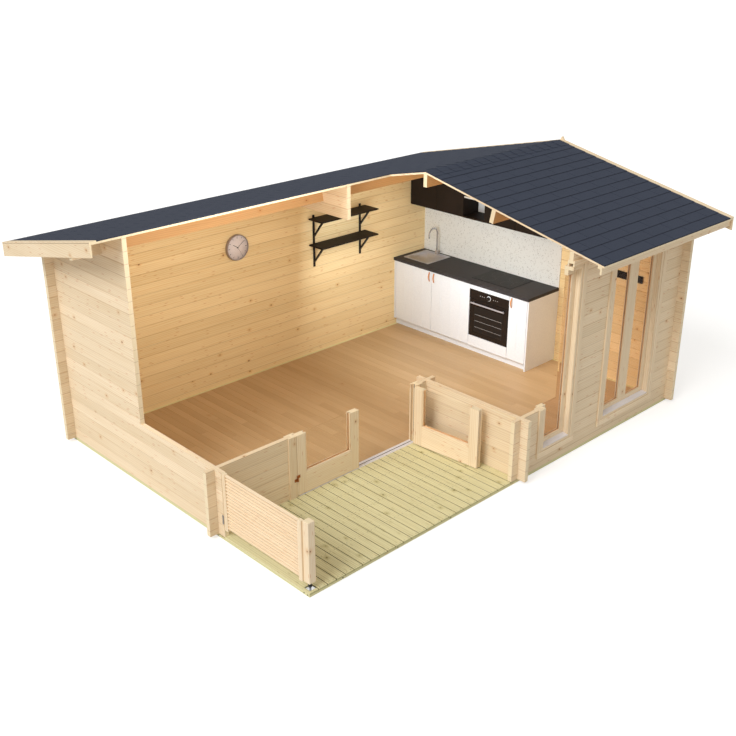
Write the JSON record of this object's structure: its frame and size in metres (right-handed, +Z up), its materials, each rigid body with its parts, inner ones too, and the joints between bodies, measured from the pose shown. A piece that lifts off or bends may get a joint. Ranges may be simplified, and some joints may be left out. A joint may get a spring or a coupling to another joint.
{
  "type": "cutaway log cabin",
  "caption": "Log cabin with gable roof, corner terrace, glazed double doors and fitted kitchen, sectioned so that the room shows.",
  "frame": {"origin": "on the ground, at the middle of the plan", "axes": "+X along the long front to the right, +Y from the front to the back, +Z up"},
  "size_m": [5.822, 4.38, 2.5717],
  "materials": {
    "pine": "planed bare softwood",
    "treated_timber": "green pressure-treated softwood",
    "floor_boards": "planed tongued boards",
    "shingles": "mineral-faced bitumen shingles, slate blue-grey",
    "glass": "clear double glazing",
    "bare_aluminium": "mill finish",
    "bronzed_steel": "bronze-coloured plating",
    "zinc_steel": "zinc plated",
    "white_board": "white lacquered board, satin",
    "dark_laminate": "dark brown laminate, matt",
    "stainless": "brushed stainless steel",
    "black_glass": "black glass ceramic",
    "black_enamel": "satin black",
    "terrazzo": "pale flecked panel",
    "black_board": "matt black painted board",
    "clock_case": "pale satin case"
  },
  "bodies": {
    "cabin": {"left_wall": "pine", "left_wall_low": "pine", "back_wall": "pine", "right_wall": "pine", "recessed_wall_left": "pine", "recessed_wall_right": "pine", "terrace_side_wall": "pine", "front_wall_low": "pine", "front_wall": "pine", "cross_beam": "pine", "ridge_purlin": "pine", "front_purlin": "pine", "back_purlin": "pine", "roof_boards_front": "pine", "roof_boards_back": "pine", "left_bargeboard": "pine", "right_bargeboard_front": "pine", "right_bargeboard_back": "pine", "front_fascia": "pine", "back_fascia": "pine", "door_frame": "pine", "window_small_frame": "pine", "window_small_sash": "pine", "window_large_frame": "pine", "window_large_sash": "pine", "louvre_screen": "pine", "corner_post": "pine", "base_frame": "treated_timber", "terrace_frame": "treated_timber", "terrace_deck": "treated_timber", "floor": "floor_boards", "roof_covering_front": "shingles", "roof_covering_back": "shingles", "window_glass": "glass", "threshold": "bare_aluminium", "window_sills": "bare_aluminium", "door_hinges": "bronzed_steel", "post_foot": "zinc_steel", "screen_bracket": "zinc_steel", "kitchen_carcass": "white_board", "worktop": "dark_laminate", "sink": "stainless", "tap": "stainless", "hob": "black_glass", "oven": "black_enamel", "shelf_brackets": "black_enamel", "splashback": "terrazzo", "wall_cupboards": "black_board", "wall_shelves": "black_board", "coat_rail": "black_board", "wall_clock": "clock_case"},
    "left_leaf": {"door_leaf_left": "pine", "door_glass_left": "glass"},
    "right_leaf": {"door_leaf_right": "pine", "door_glass_right": "glass"},
    "sink_door_left": {"cupboard_door_left": "white_board"},
    "sink_door_right": {"cupboard_door_middle": "white_board"},
    "narrow_door": {"cupboard_door_narrow": "white_board"},
    "oven_flap": {"oven_door": "black_enamel"}
  },
  "joints": [
    {"name": "left_leaf_hinge", "type": "hinge", "parent": "cabin", "child": "left_leaf", "pos_m": [-1.727, -0.6793, 0.23], "axis": [0, 0, -1], "range_deg": [0, 95]},
    {"name": "right_leaf_hinge", "type": "hinge", "parent": "cabin", "child": "right_leaf", "pos_m": [-0.162, -0.6793, 0.23], "axis": [0, 0, 1], "range_deg": [-95, 0]},
    {"name": "sink_door_left_hinge", "type": "hinge", "parent": "cabin", "child": "sink_door_left", "pos_m": [2.004, 1.784, 0.5], "axis": [0, 0, -1], "range_deg": [0, 90]},
    {"name": "sink_door_right_hinge", "type": "hinge", "parent": "cabin", "child": "sink_door_right", "pos_m": [2.004, 0.539, 0.5], "axis": [0, 0, 1], "range_deg": [0, 90]},
    {"name": "narrow_door_hinge", "type": "hinge", "parent": "cabin", "child": "narrow_door", "pos_m": [2.004, -0.328, 0.5], "axis": [0, 0, 1], "range_deg": [0, 90]},
    {"name": "oven_flap_hinge", "type": "hinge", "parent": "cabin", "child": "oven_flap", "pos_m": [2.004, 0.2365, 0.255], "axis": [0, -1, 0], "range_deg": [0, 90]}
  ]
}
